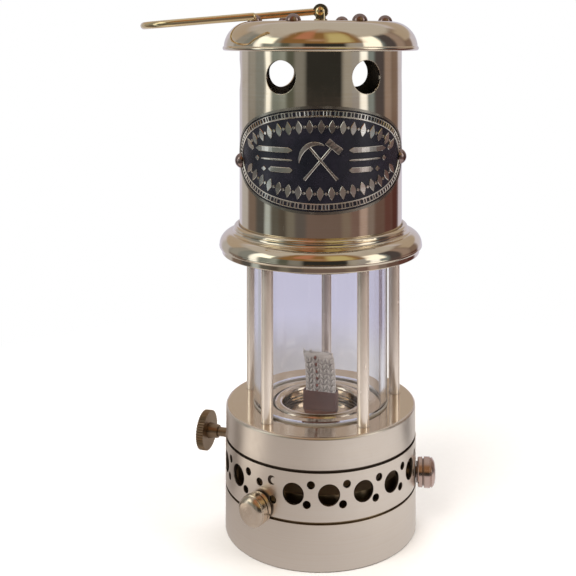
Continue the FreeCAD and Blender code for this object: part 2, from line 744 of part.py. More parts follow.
def swivel():
    """Turning foot with two ears for the hook's pin; its stem goes through the cap."""
    low, high = SWIVEL_BASE_Z
    foot = disc(SWIVEL_R, low - PIN_Z, high - PIN_Z)
    stem = disc(SWIVEL_STEM_R, SWIVEL_STEM_LOW_Z - PIN_Z, low - PIN_Z)
    parts = [foot, stem]
    for side in (-1, 1):
        inner = Vector(0, side * EAR_GAP, 0)
        outer = Vector(0, side * (EAR_GAP + EAR_THICK), 0)
        near = min(inner.y, outer.y)
        web = box(Vector(-EAR_R, near, high - PIN_Z - 0.2), Vector(EAR_R, near + EAR_THICK, 0))
        ear = rod(inner, outer, EAR_R).fuse(web)
        parts.append(ear.common(disc(SWIVEL_R + 0.1, -10, 10)))
    body = fused(parts).cut(rod(Vector(0, -5, 0), Vector(0, 5, 0), PIN_R))
    return hook_frame(body)


def hook_pin():
    reach = EAR_GAP + EAR_THICK
    pin = rod(Vector(0, -reach, 0), Vector(0, reach, 0), PIN_R)
    heads = [dome(1.7, 0.6, reach).rotate(ORIGIN, ALONG_X, turn) for turn in (-90, 90)]
    return hook_frame(fused([pin] + heads))


def swivel_nut():
    high = CAP_Z - CAP_THICK - 0.1
    return hexagon(NUT_FLATS, SWIVEL_NUT_Z, high).cut(disc(SWIVEL_STEM_R, SWIVEL_NUT_Z - 1, high + 1))


os.makedirs("parts", exist_ok=True)
save("tank_cup", tank_cup())
save("tank_lid", tank_lid())
save("air_band", air_band())
save("band_bosses", band_bosses())
save("top_ring", top_ring())
save("lower_gasket", gasket(DECK_Z - LOWER_GASKET_SINK, DECK_Z + LOWER_GASKET_RISE))
save("glass", glass())
save("upper_gasket", gasket(PLATE_Z - SEAT_FLOOR - GASKET_THICK, PLATE_Z - SEAT_FLOOR))
save("upper_glass_seat", upper_glass_seat())
save("pillars", pillars())
save("lower_pillar_nuts", pillar_nuts(DECK_Z - DECK_THICK - NUT_THICK))
save("upper_pillar_nuts", pillar_nuts(PLATE_Z + PLATE_THICK))
save("bonnet_plate", bonnet_plate())
save("collar", collar())
save("hood_tube", hood_tube())
save("cap_ring", cap_ring())
save("cap", cap())
save("cap_rivets", cap_rivets())
save("nameplate", nameplate())
save("nameplate_rivets", nameplate_rivets())
save("burner_plug", burner_plug())
save("burner_housing", burner_housing())
save("burner_cup", burner_cup())
save("burner_dome", burner_dome())
save("wick_tube", wick_tube())
save("wick", wick())
save("wick_shaft", wick_shaft())
save("wick_wheels", wick_wheels())
save("shaft_gland", shaft_gland())
save("wick_knob", wick_knob())
for number, screw in enumerate(SCREW_AZIMUTHS, start=1):
    save(f"thumb_screw_{number}", thumb_screw(screw))
    save(f"screw_washer_{number}", thumb_screw_washer(screw))
save("hook", hook())
save("hook_pin", hook_pin())
save("swivel", swivel())
save("swivel_nut", swivel_nut())
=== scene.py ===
import json
import math
import random

import bmesh
import bpy
from mathutils import Matrix, Vector

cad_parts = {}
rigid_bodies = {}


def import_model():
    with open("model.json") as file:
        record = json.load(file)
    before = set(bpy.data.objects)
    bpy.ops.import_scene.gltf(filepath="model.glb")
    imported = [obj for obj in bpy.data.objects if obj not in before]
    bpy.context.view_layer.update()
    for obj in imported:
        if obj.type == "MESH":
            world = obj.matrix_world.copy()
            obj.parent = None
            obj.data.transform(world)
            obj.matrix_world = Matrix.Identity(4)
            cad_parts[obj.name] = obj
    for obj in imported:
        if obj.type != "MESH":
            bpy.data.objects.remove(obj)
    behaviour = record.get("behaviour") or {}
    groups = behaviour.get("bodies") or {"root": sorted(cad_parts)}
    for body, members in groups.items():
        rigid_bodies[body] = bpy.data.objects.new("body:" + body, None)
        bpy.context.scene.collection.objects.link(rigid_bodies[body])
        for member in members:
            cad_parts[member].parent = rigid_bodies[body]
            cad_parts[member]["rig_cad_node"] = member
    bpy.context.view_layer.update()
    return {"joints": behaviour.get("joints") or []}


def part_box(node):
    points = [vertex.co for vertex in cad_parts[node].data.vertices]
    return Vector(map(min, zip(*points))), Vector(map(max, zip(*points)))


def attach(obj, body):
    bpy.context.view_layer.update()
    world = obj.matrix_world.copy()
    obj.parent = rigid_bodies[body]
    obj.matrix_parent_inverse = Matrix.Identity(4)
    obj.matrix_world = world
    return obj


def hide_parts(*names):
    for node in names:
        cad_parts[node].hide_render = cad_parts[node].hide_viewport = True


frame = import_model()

# Metres. +Z is up and -Y is the front, where the nameplate is. Azimuths run from the front towards +X.
MM = 0.001
RANDOM_SEED = 7


def outward(azimuth):
    """Level unit vector at an azimuth in degrees."""
    angle = math.radians(azimuth)
    return Vector((math.sin(angle), -math.cos(angle), 0))


def cosine(degrees):
    return math.cos(math.radians(degrees))


def colour(red, green, blue):
    return (red, green, blue, 1.0)


# ---------------------------------------------------------------- materials


class Nodes:
    """A node tree, with short calls that add nodes and link them."""

    def __init__(self, owner):
        owner.use_nodes = True
        self.tree = owner.node_tree
        self.tree.nodes.clear()

    def node(self, kind, inputs=None, **settings):
        node = self.tree.nodes.new("ShaderNode" + kind)
        for key, value in settings.items():
            setattr(node, key, value)
        for key, value in (inputs or {}).items():
            self.feed(node.inputs[key], value)
        return node

    def feed(self, socket, value):
        if isinstance(value, bpy.types.NodeSocket):
            self.tree.links.new(value, socket)
        else:
            socket.default_value = value

    def math(self, operation, *values, clamp=False):
        inputs = dict(enumerate(values))
        return self.node("Math", inputs, operation=operation, use_clamp=clamp).outputs[0]

    def vector(self, operation, *values):
        node = self.node("VectorMath", dict(enumerate(values)), operation=operation)
        return node.outputs["Value" if operation in ("DOT_PRODUCT", "LENGTH") else "Vector"]

    def between(self, value, low, high, to_low=0.0, to_high=1.0):
        """Smooth step from to_low to to_high as value goes from low to high."""
        inputs = {"Value": value, "From Min": low, "From Max": high, "To Min": to_low, "To Max": to_high}
        return self.node("MapRange", inputs, interpolation_type="SMOOTHSTEP").outputs[0]

    def mix(self, factor, first, second, blend="MIX"):
        node = self.node("Mix", data_type="RGBA", blend_type=blend)
        for key, value in (("Factor_Float", factor), ("A_Color", first), ("B_Color", second)):
            socket = next(item for item in node.inputs if item.identifier == key)
            self.feed(socket, value)
        return next(item for item in node.outputs if item.identifier == "Result_Color")

    def blend_shaders(self, factor, first, second):
        node = self.node("MixShader", {0: factor})
        self.tree.links.new(first.outputs[0], node.inputs[1])
        self.tree.links.new(second.outputs[0], node.inputs[2])
        return node


class Paint(Nodes):
    """A material. Its place is the point on the surface, in the lamp's own frame."""

    def __init__(self, name):
        self.material = bpy.data.materials.new(name)
        super().__init__(self.material)
        self.place = self.node("TexCoord").outputs["Object"]

    def noise(self, scale, detail=3.0, roughness=0.55, vector=None, distortion=0.0):
        inputs = {"Vector": vector or self.place, "Scale": scale, "Detail": detail}
        inputs.update({"Roughness": roughness, "Distortion": distortion})
        return self.node("TexNoise", inputs).outputs["Fac"]

    def finish(self, shader):
        output = self.node("OutputMaterial")
        self.tree.links.new(shader, output.inputs["Surface"])
        return self.material


def turned_lines(paint, size, centre, axis):
    """Noise in rings round an axis, as a lathe tool or a polishing mop leaves; size is the rings' width."""
    offset = paint.vector("SUBTRACT", paint.place, centre)
    along = paint.vector("DOT_PRODUCT", offset, axis)
    across = paint.vector("LENGTH", paint.vector("CROSS_PRODUCT", offset, axis))
    joined = paint.node("CombineXYZ", {"X": paint.math("DIVIDE", along, size)})
    paint.feed(joined.inputs["Y"], paint.math("DIVIDE", across, size))
    drift = paint.noise(30.0, 1.0)
    paint.feed(joined.inputs["Z"], paint.math("MULTIPLY", drift, 2.0))
    return paint.noise(1.0, 4.0, 0.6, joined.outputs[0])


# Dark brown for the painted shade in corners, and for the darker insides under a skin
SHADE_AND_INSIDE_DARK = colour(0.07, 0.045, 0.03)
INSIDE_DARK_SHARE = 0.9
INSIDE_DARK_FADE = 1 * MM
# How far the ambient occlusion looks for the corners that get painted shade
HOLLOW_REACH = 1.6 * MM
RIPPLE_SCALE = 38.0


def inside_darkness(paint, skin):
    """How much darker a surface is: whatever lies deeper than the skin's radius, between its two heights."""
    radius, low, high = skin
    reach = paint.vector("LENGTH", paint.vector("MULTIPLY", paint.place, (1, 1, 0)))
    level = paint.node("SeparateXYZ", {0: paint.place}).outputs["Z"]
    share = paint.between(reach, radius - 0.6 * MM, radius - 0.15 * MM, INSIDE_DARK_SHARE, 0.0)
    share = paint.math("MULTIPLY", share, paint.between(level, low, low + INSIDE_DARK_FADE))
    return paint.math("MULTIPLY", share, paint.between(level, high - INSIDE_DARK_FADE, high, 1.0, 0.0))


def brass(name, tint, stain, *, rough, line_size, line_depth, stain_share, corner_shade=0.6, centre=(0, 0, 0),
          axis=(0, 0, 1), spin=0.0, bevel=0.12 * MM, top_rough=None, skin=None, ripple=0.02 * MM, metal=1.0):
    """Brass with turned lines, a drifting stain, smudges, fine scratches, and painted shade in its corners.

    A top_rough polishes the faces that look straight up. A skin is an outer radius and two heights: whatever
    lies deeper is darker. A ripple is the depth of the slow hollows left by hand polishing, which
    make mirrored edges waver. A metal below 1 is dull with old lacquer.
    """
    paint = Paint(name)
    lines = turned_lines(paint, line_size, centre, axis)
    clouds = paint.noise(55.0, 5.0, 0.6, distortion=0.6)
    smudges = paint.noise(210.0, 4.0, 0.6, distortion=1.2)
    specks = paint.noise(1400.0, 2.0, 0.5)
    scratch_place = paint.vector("MULTIPLY", paint.place, (1.0, 1.0, 0.12))
    scratches = paint.between(paint.noise(900.0, 2.0, 0.5, scratch_place), 0.70, 0.76)

    shade = paint.mix(paint.between(clouds, 0.42, 0.78, 0.0, stain_share), tint, stain)
    shade = paint.mix(paint.between(specks, 0.66, 0.80, 0.0, 0.5 * stain_share), shade, stain)
    shade = paint.mix(paint.between(lines, 0.3, 0.7, 0.0, 0.10), shade, colour(1, 1, 1), "OVERLAY")
    # Painted shade: corners and creases that the ambient occlusion finds are darkened towards the dark brown
    hollow = paint.node("AmbientOcclusion", {"Distance": HOLLOW_REACH}, samples=4).outputs["AO"]
    darkness = paint.between(hollow, 0.75, 0.25, 0.0, corner_shade)
    # Surfaces deeper than the skin are darkened as well, in the same dark brown
    if skin:
        darkness = paint.math("MAXIMUM", darkness, inside_darkness(paint, skin))
    shade = paint.mix(darkness, shade, SHADE_AND_INSIDE_DARK)

    if top_rough is not None:
        facing = paint.node("SeparateXYZ", {0: paint.node("NewGeometry").outputs["Normal"]}).outputs["Z"]
        rough = paint.between(facing, 0.8, 0.98, rough, top_rough)
    gloss = paint.math("ADD", rough, paint.between(smudges, 0.35, 0.8, -0.02, 0.06))
    gloss = paint.math("ADD", gloss, paint.math("MULTIPLY", darkness, 0.3))
    gloss = paint.math("ADD", gloss, paint.math("MULTIPLY", scratches, 0.12), clamp=True)

    edge = paint.node("Bevel", {"Radius": bevel}, samples=4).outputs["Normal"]
    slow = {"Height": paint.noise(RIPPLE_SCALE, 1.0), "Distance": ripple, "Normal": edge}
    hollows = paint.node("Bump", slow).outputs["Normal"]
    height = paint.math("SUBTRACT", lines, paint.math("MULTIPLY", scratches, 0.25))
    fine = {"Height": height, "Distance": line_depth, "Normal": hollows}
    inputs = {
        "Base Color": shade, "Metallic": metal, "Roughness": gloss, "Anisotropic": spin,
        "Normal": paint.node("Bump", fine).outputs["Normal"],
    }
    if spin:
        inputs["Tangent"] = paint.node("Tangent", direction_type="RADIAL", axis="Z").outputs["Tangent"]
    return paint.finish(paint.node("BsdfPrincipled", inputs).outputs["BSDF"])


def clear_glass():
    """Old glass, faintly lavender, with light smears. Shadows and bounced light pass straight through."""
    paint = Paint("clear_glass")
    tint = paint.mix(paint.noise(18.0, 2.0), colour(0.988, 0.988, 1.0), colour(0.975, 0.977, 0.997))
    drawn = paint.vector("MULTIPLY", paint.place, (1, 1, 0.3))
    smears = paint.between(paint.noise(70.0, 4.0, 0.6, drawn), 0.5, 0.8)
    waves = paint.node("Bump", {"Height": paint.noise(28.0, 1.0), "Distance": 0.05 * MM, "Strength": 0.35})
    inputs = {"Color": tint, "Roughness": paint.math("MULTIPLY", smears, 0.03), "IOR": 1.48}
    body = paint.node("BsdfGlass", dict(inputs, Normal=waves.outputs["Normal"]))
    passing = paint.node("BsdfTransparent", {"Color": colour(0.95, 0.955, 0.98)})
    path = paint.node("LightPath")
    through = paint.math("MAXIMUM", path.outputs["Is Shadow Ray"], path.outputs["Is Diffuse Ray"])
    return paint.finish(paint.blend_shaders(through, body, passing).outputs[0])


def enamel():
    """Nameplate: satin black in the field, worn to pale metal on the raised rim."""
    paint = Paint("nameplate_enamel")
    reach = paint.vector("LENGTH", paint.vector("MULTIPLY", paint.place, (1, 1, 0)))
    rim_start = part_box("hood_tube")[1].y + PLATE_FACE + 0.1 * MM
    worn = paint.between(paint.noise(90.0, 3.0, 0.5), 0.2, 0.5, 0.35, 1.0)
    rim = paint.math("MULTIPLY", paint.between(reach, rim_start, rim_start + 0.15 * MM), worn)
    clouds = paint.between(paint.noise(90.0, 4.0, 0.6), 0.3, 0.75)
    field = paint.mix(clouds, colour(0.006, 0.007, 0.012), colour(0.018, 0.016, 0.026))
    scuffs = paint.between(paint.noise(1200.0, 3.0, 0.6), 0.66, 0.8)
    field = paint.mix(paint.math("MULTIPLY", scuffs, 0.35), field, colour(0.09, 0.08, 0.07))
    shade = paint.mix(rim, field, colour(0.42, 0.39, 0.33))
    gloss = paint.between(paint.noise(160.0, 4.0, 0.6), 0.3, 0.8, 0.22, 0.42)
    bump = paint.node("Bump", {"Height": paint.noise(1500.0, 3.0), "Distance": 0.01 * MM, "Strength": 0.6})
    inputs = {"Base Color": shade, "Metallic": rim, "Roughness": gloss, "Normal": bump.outputs["Normal"]}
    return paint.finish(paint.node("BsdfPrincipled", inputs).outputs["BSDF"])


def fibre(name, light, dark):
    """Pressed fibre for the gaskets."""
    paint = Paint(name)
    threads = paint.noise(2600.0, 4.0, 0.7, distortion=2.0)
    shade = paint.mix(threads, dark, light)
    bump = paint.node("Bump", {"Height": threads, "Distance": 0.08 * MM, "Strength": 0.8})
    inputs = {"Base Color": shade, "Roughness": 0.92, "Normal": bump.outputs["Normal"], "Sheen Weight": 0.2}
    return paint.finish(paint.node("BsdfPrincipled", inputs).outputs["BSDF"])


def cotton(name, light, dark, twist):
    """Spun cotton: fine slanting yarns, a soft sheen, grey-brown soiling in patches, and painted shade in
    the hollows.
    """
    paint = Paint(name)
    yarn = paint.node("TexWave", {
        "Vector": paint.place, "Scale": 900.0, "Distortion": 3.0, "Detail": 2.0, "Detail Scale": 1.5,
    }, bands_direction=twist).outputs["Fac"]
    fluff = paint.noise(3200.0, 3.0, 0.7)
    soil = paint.between(paint.noise(240.0, 4.0, 0.6, distortion=0.8), 0.35, 0.7)
    hollow = paint.node("AmbientOcclusion", {"Distance": 0.9 * MM}, samples=4).outputs["AO"]
    shade = paint.mix(paint.math("MULTIPLY", soil, 0.5), light, dark)
    shade = paint.mix(paint.between(yarn, 0.1, 0.6, 0.35, 0.0), shade, dark)
    # Painted shade: the hollows that the ambient occlusion finds are darkened to a deep brown
    shade = paint.mix(paint.between(hollow, 0.85, 0.3, 0.0, 0.75), shade, colour(0.09, 0.07, 0.055))
    height = paint.math("ADD", paint.math("MULTIPLY", yarn, 0.6), paint.math("MULTIPLY", fluff, 0.5))
    bump = paint.node("Bump", {"Height": height, "Distance": 0.12 * MM, "Strength": 0.9})
    inputs = {
        "Base Color": shade, "Roughness": 0.95, "Normal": bump.outputs["Normal"], "Sheen Weight": 0.35,
        "Sheen Roughness": 0.6,
    }
    return paint.finish(paint.node("BsdfPrincipled", inputs).outputs["BSDF"])


# Tints of the brass, each with what stains it
PALE = colour(0.87, 0.77, 0.66)
PALE_STAIN = colour(0.70, 0.60, 0.53)
BRIGHT = colour(0.84, 0.73, 0.57)
BRIGHT_STAIN = colour(0.55, 0.40, 0.27)
GOLD = colour(1.0, 0.80, 0.46)
GOLD_STAIN = colour(0.42, 0.25, 0.13)
AGED = colour(0.55, 0.42, 0.26)
AGED_STAIN = colour(0.25, 0.16, 0.10)
COPPER = colour(0.235, 0.125, 0.10)
COPPER_STAIN = colour(0.08, 0.05, 0.045)
PILLAR = colour(0.96, 0.85, 0.75)
HOUSING = colour(0.92, 0.76, 0.66)
BURNER = colour(0.84, 0.72, 0.58)
KNOB = colour(0.33, 0.24, 0.155)
# Rivets and screw washers are brass; their dark purple-brown tint is a painted dark reflection
RIVET_DARK_REFLECTION = colour(0.34, 0.25, 0.23)
# The three thumb screws are one brass; their tints differ because each carries a painted reflection, the
# second's pinkish brown most of all
SCREW_TINTS_WITH_REFLECTION = (colour(0.84, 0.70, 0.55), colour(0.66, 0.49, 0.43), colour(0.70, 0.56, 0.45))
# A skin reaches this far above and below its node, and the hood's lies this deep in its wall
SKIN_BEYOND = 3 * MM
HOOD_SKIN_DEPTH = 0.35 * MM


def assign(material, *nodes):
    """Gives a CAD node its material; the mesh itself stays as it is."""
    for node in nodes:
        for piece in bpy.context.scene.objects:
            if piece.get("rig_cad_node") == node:
                piece.data.materials.clear()
                piece.data.materials.append(material)


def joint_line(name):
    """A point on a joint's axis, and the axis."""
    joint = next(item for item in frame["joints"] if item["name"] == name)
    return tuple(joint["pos_m"]), tuple(joint["axis"])


def dress_base():
    band_low, band_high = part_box("air_band")
    satin = brass("satin_brass", PALE, PALE_STAIN, rough=0.30, line_size=0.30 * MM, line_depth=0.006 * MM,
                  stain_share=0.14, spin=0.5, top_rough=0.09,
                  skin=(band_high.y, band_low.z - SKIN_BEYOND, band_high.z + SKIN_BEYOND))
    assign(satin, "tank_cup", "air_band", "top_ring")
    # Each screw gets its own tint, with its painted reflection in it
    for number, tint in enumerate(SCREW_TINTS_WITH_REFLECTION, start=1):
        spot, axis = joint_line(f"thumb_screw_{number}_turn")
        head = brass(f"screw_brass_{number}", tint, AGED_STAIN, rough=0.20, line_size=0.3 * MM,
                     line_depth=0.012 * MM, stain_share=0.35, corner_shade=0.8, centre=spot, axis=axis)
        assign(head, f"thumb_screw_{number}")
    spot, axis = joint_line("wick_knob_turn")
    knob = brass("knob_brass", KNOB, AGED_STAIN, rough=0.34, line_size=0.3 * MM, line_depth=0.02 * MM,
                 stain_share=0.6, corner_shade=0.8, centre=spot, axis=axis)
    assign(knob, "wick_knob", "wick_shaft", "wick_wheels")


def dress_burner():
    housing = brass("housing_brass", HOUSING, AGED_STAIN, rough=0.24, line_size=1.6 * MM,
                    line_depth=0.12 * MM, stain_share=0.4, corner_shade=0.1, metal=0.25)
    assign(housing, "burner_housing")
    cup = brass("burner_brass", BURNER, AGED_STAIN, rough=0.08, line_size=0.9 * MM, line_depth=0.02 * MM,
                stain_share=0.35, corner_shade=0.95)
    assign(cup, "burner_cup", "burner_dome")
    copper = brass("tarnished_copper", COPPER, COPPER_STAIN, rough=0.36, line_size=0.6 * MM,
                   line_depth=0.02 * MM, stain_share=0.7, axis=(1, 0, 0), metal=0.6)
    assign(copper, "wick_tube")


def dress_cage():
    pillar = brass("pillar_brass", PILLAR, PALE_STAIN, rough=0.20, line_size=0.5 * MM,
                   line_depth=0.004 * MM, stain_share=0.35, metal=0.72)
    assign(pillar, "pillars")
    assign(clear_glass(), "glass")
    gasket = fibre("gasket_fibre", colour(0.38, 0.34, 0.28), colour(0.16, 0.14, 0.12))
    assign(gasket, "lower_gasket", "upper_gasket")


def dress_bonnet():
    polish = {"rough": 0.05, "line_size": 0.9 * MM, "line_depth": 0.003 * MM, "stain_share": 0.24}
    polished = brass("polished_brass", BRIGHT, BRIGHT_STAIN, ripple=0.10 * MM, **polish)
    assign(polished, "collar", "cap", "upper_glass_seat")
    tube_low, tube_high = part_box("hood_tube")
    hood = brass("hood_brass", BRIGHT, BRIGHT_STAIN, corner_shade=0.1, bevel=0.4 * MM, ripple=0.16 * MM,
                 skin=(tube_high.y - HOOD_SKIN_DEPTH, tube_low.z - SKIN_BEYOND, tube_high.z + SKIN_BEYOND),
                 **polish)
    assign(hood, "hood_tube")
    assign(enamel(), "nameplate")
    golden = brass("golden_brass", GOLD, GOLD_STAIN, rough=0.13, line_size=0.7 * MM, line_depth=0.008 * MM,
                   stain_share=0.55, axis=(1, 0, 0))
    assign(golden, "hook", "hook_pin", "swivel")


def dress_fasteners():
    # The rivets' dark tint is a painted dark reflection
    rivets = brass("rivet_brass", RIVET_DARK_REFLECTION, COPPER_STAIN, rough=0.16, line_size=0.3 * MM,
                   line_depth=0.004 * MM, stain_share=0.5)
    assign(rivets, "cap_rivets", "nameplate_rivets", "screw_washer_1", "screw_washer_2", "screw_washer_3")
    raw = brass("raw_brass", AGED, AGED_STAIN, rough=0.34, line_size=0.25 * MM, line_depth=0.012 * MM,
                stain_share=0.5)
    assign(raw, "tank_lid", "band_bosses", "lower_pillar_nuts", "upper_pillar_nuts", "bonnet_plate",
           "cap_ring", "burner_plug", "shaft_gland", "swivel_nut")


# ---------------------------------------------------------------- mesh pieces


def add_piece(name, mesh, body, material, smooth=True):
    """Puts a mesh in the scene on a CAD body."""
    for polygon in mesh.polygons:
        polygon.use_smooth = smooth
    piece = bpy.data.objects.new(name, mesh)
    bpy.context.scene.collection.objects.link(piece)
    mesh.materials.append(material)
    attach(piece, body)
    return piece


def tube_along(work, path, radii, sides, turn):
    """Closed tube round a path of points, with a flat cap at each end, and the whole of it turned."""
    rings = []
    for index, point in enumerate(path):
        ahead = path[min(index + 1, len(path) - 1)] - path[max(index - 1, 0)]
        ahead.normalize()
        guide = Vector((0, 1, 0)) if abs(ahead.y) < 0.9 else Vector((1, 0, 0))
        side = ahead.cross(guide).normalized()
        other = ahead.cross(side)
        ring = []
        for step in range(sides):
            angle = 2 * math.pi * step / sides
            place = point + (side * math.cos(angle) + other * math.sin(angle)) * radii[index]
            ring.append(work.verts.new(turn @ place))
        rings.append(ring)
    for first, second in zip(rings, rings[1:]):
        for step in range(sides):
            follow = (step + 1) % sides
            work.faces.new((first[step], first[follow], second[follow], second[step]))
    work.faces.new(list(reversed(rings[0])))
    work.faces.new(rings[-1])


def mesh_from(work, name):
    mesh = bpy.data.meshes.new(name)
    bmesh.ops.recalc_face_normals(work, faces=work.faces)
    work.to_mesh(mesh)
    work.free()
    return mesh


# Wick: columns of stitches across it, one stitch's rise, and its yarns
COLUMNS = 4
STITCH_RISE = 2.1 * MM
YARN_RADIUS = 0.52 * MM
YARN_SIDES = 6
LEG_POINTS = 6
EDGE_RADIUS = 0.62 * MM
EDGE_SIDES = 8
EDGE_STEP = 0.4 * MM
EDGE_SWAY = 0.12 * MM
CORE_ROWS = 31
# Coloured running stitch: its line across the wick, the length of a stitch and the gap to the next
THREAD_ACROSS = -1.3 * MM
THREAD_LENGTH = 1.55 * MM
THREAD_GAP = 1.2 * MM
THREAD_POINTS = 7
# Loose hairs at the cut top, thinning to a point
HAIRS = 26
HAIR_RADII = (0.11 * MM, 0.10 * MM, 0.085 * MM, 0.065 * MM, 0.03 * MM)


class Wick:
    """Flat tubular braid. X runs along its width and Y through its thickness, turned as the burner is.

    The knob's axis runs along the wick's width. The box round the turned wick mixes its width and thickness,
    and its left side also holds the lean, so all three are worked out from the box and the turn.
    """

    def __init__(self):
        axis = joint_line("wick_knob_turn")[1]
        turned = math.atan2(-axis[1], -axis[0])
        along, aside = math.cos(turned), abs(math.sin(turned))
        low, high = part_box("wick")
        spread = along ** 2 - aside ** 2
        self.half_width = (high.x * along + low.y * aside) / spread
        self.half_thick = (-low.y * along - high.x * aside) / spread
        self.lean = (-low.x - high.x) / along
        self.low, self.high = low.z, high.z
        self.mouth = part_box("wick_tube")[1].z
        self.turn = Matrix.Rotation(turned, 4, "Z")

    def spot(self, x, y, z):
        """Where a point of the straight braid lies: it leans more and more above the tube's mouth."""
        share = max(0.0, (z - self.mouth) / (self.high - self.mouth))
        return Vector((x - self.lean * share ** 3, y, z))

    def leg(self, work, outer, inner, face):
        """One fat yarn of a stitch, bulging out of the wick's face between two flat points (x, z)."""
        path, radii = [], []
        for index in range(LEG_POINTS):
            share = index / (LEG_POINTS - 1)
            bulge = math.sin(math.pi * (0.12 + 0.76 * share))
            x = outer[0] + (inner[0] - outer[0]) * share
            z = outer[1] + (inner[1] - outer[1]) * share
            depth = self.half_thick - YARN_RADIUS * (1.75 - 0.75 * bulge)
            path.append(self.spot(x, face * depth, z))
            radii.append(YARN_RADIUS * (0.62 + 0.38 * bulge))
        tube_along(work, path, radii, YARN_SIDES, self.turn)

    def braid(self, picker):
        """Columns of stitches on both faces, each stitch two yarns that meet low in the middle."""
        work = bmesh.new()
        wide = 2 * (self.half_width - 0.5 * MM) / COLUMNS
        rows = int((self.high - self.low - 1.2 * MM) / STITCH_RISE)
        for face in (-1, 1):
            for column in range(COLUMNS):
                middle = (column - (COLUMNS - 1) / 2) * wide
                for row in range(rows):
                    z = self.low + STITCH_RISE * row + picker.uniform(-0.1, 0.1) * MM
                    for side in (-1, 1):
                        shake = picker.uniform(-0.08, 0.08) * MM
                        outer = (middle + side * 0.40 * wide + shake, z + 1.0 * STITCH_RISE)
                        inner = (middle + side * 0.06 * wide, z)
                        self.leg(work, outer, inner, face)
        return mesh_from(work, "wick_braid")

    def selvedges(self):
        """Corded edges."""
        work = bmesh.new()
        reach = self.half_width - EDGE_RADIUS
        count = int((self.high - self.low - 1.0 * MM) / EDGE_STEP)
        for side in (-1, 1):
            path, radii = [], []
            for index in range(count + 1):
                z = self.low + EDGE_STEP * index
                wave = math.sin(2 * math.pi * z / STITCH_RISE)
                path.append(self.spot(side * reach, EDGE_SWAY * wave, z))
                radii.append(EDGE_RADIUS * (0.9 + 0.1 * wave))
            tube_along(work, path, radii, EDGE_SIDES, self.turn)
        return mesh_from(work, "wick_selvedges")

    def core(self):
        """Filling between the two faces of the braid, so that no light passes."""
        work = bmesh.new()
        wide = self.half_width - 0.7 * MM
        thick = self.half_thick - 1.15 * YARN_RADIUS
        rows = []
        for index in range(CORE_ROWS):
            z = self.low + 0.5 * MM + (self.high - self.low - 1.6 * MM) * index / (CORE_ROWS - 1)
            corners = ((-wide, -thick), (wide, -thick), (wide, thick), (-wide, thick))
            rows.append([work.verts.new(self.turn @ self.spot(x, y, z)) for x, y in corners])
        for first, second in zip(rows, rows[1:]):
            for step in range(4):
                follow = (step + 1) % 4
                work.faces.new((first[step], first[follow], second[follow], second[step]))
        work.faces.new(list(reversed(rows[0])))
        work.faces.new(rows[-1])
        return mesh_from(work, "wick_core")

    def stitching(self):
        """Running stitch up each face, beside its middle."""
        work = bmesh.new()
        for face in (-1, 1):
            z = self.low + 1 * MM
            while z + THREAD_LENGTH < self.high - 0.3 * MM:
                path, radii = [], []
                for index in range(THREAD_POINTS):
                    share = index / (THREAD_POINTS - 1)
                    rise = z + THREAD_LENGTH * share
                    arch = math.sin(math.pi * share)
                    depth = self.half_thick - 0.55 * MM + 0.25 * MM * arch
                    path.append(self.spot(THREAD_ACROSS + 0.15 * MM * share, face * depth, rise))
                    radii.append(0.20 * MM + 0.42 * MM * arch)
                tube_along(work, path, radii, YARN_SIDES, self.turn)
                z += THREAD_LENGTH + THREAD_GAP
        return mesh_from(work, "wick_stitching")

    def fray(self, picker):
        """Loose hairs at the cut top."""
        work = bmesh.new()
        for _ in range(HAIRS):
            x = picker.uniform(-0.95, 0.95) * self.half_width
            y = picker.uniform(-0.8, 0.8) * self.half_thick
            base = self.spot(x, y, self.high - 1.2 * MM)
            drift = Vector((picker.uniform(-0.9, 0.7), picker.uniform(-0.5, 0.5), picker.uniform(0.9, 1.5)))
            bend = Vector((picker.uniform(-0.5, 0.5), picker.uniform(-0.3, 0.3), 0))
            shares = [step / (len(HAIR_RADII) - 1) for step in range(len(HAIR_RADII))]
            path = [base + (drift * share + bend * share * share) * MM for share in shares]
            tube_along(work, path, HAIR_RADII, 5, self.turn)
        return mesh_from(work, "wick_fray")


def build_wick():
    picker = random.Random(RANDOM_SEED)
    wick = Wick()
    pale = cotton("wick_cotton", colour(0.62, 0.57, 0.52), colour(0.38, 0.32, 0.28), "DIAGONAL")
    thread = cotton("wick_thread", colour(0.26, 0.09, 0.06), colour(0.10, 0.04, 0.03), "Z")
    braid = add_piece("wick_braid", wick.braid(picker), "wick", pale)
    add_piece("wick_core", wick.core(), "wick", pale)
    add_piece("wick_selvedges", wick.selvedges(), "wick", pale)
    add_piece("wick_stitching", wick.stitching(), "wick", thread)
    add_piece("wick_fray", wick.fray(picker), "wick", pale)
    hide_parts("wick")


# Nameplate: how far its field stands off the hood, and how far the ornament stands off the field
PLATE_FACE = 0.5 * MM
RELIEF = 0.34 * MM
# Ornament, in millimetres on the flattened plate: across and up from its middle, inset from its edge,
# and halves, which are half-widths along a stroke
PLATE_HALF_WIDTH = 41.1
CHAMFER = 0.16
OVAL_POINTS = 160
LADDER_RAILS = ((1.75, 0.2), (3.75, 0.28))
LADDER_INSET = 2.75
RUNGS = 126
RUNG_REACH = 0.95
RUNG_HALVES = (0.33, 0.33)
LEAVES = 17
LEAF_INSET = 7.6
LEAF_ARCS = ((22, 158), (202, 338))
LEAF_REACH = 2.5
LEAF_HALVES = (0.14, 0.75, 1.15, 1.25, 1.0, 0.55, 0.14)
BEAD_REACH = 0.55
BEAD_HALVES = (0.2, 0.5, 0.58, 0.5, 0.2)
HANDLE_FOOT = (-6.0, -7.2)
HANDLE_TOP = (4.8, 5.6)
HANDLE_HALVES = (0.62, 0.5, 0.46, 0.46, 0.46, 0.46, 0.46)
HAMMER_ENDS = ((2.4, 7.0), (7.4, 3.0))
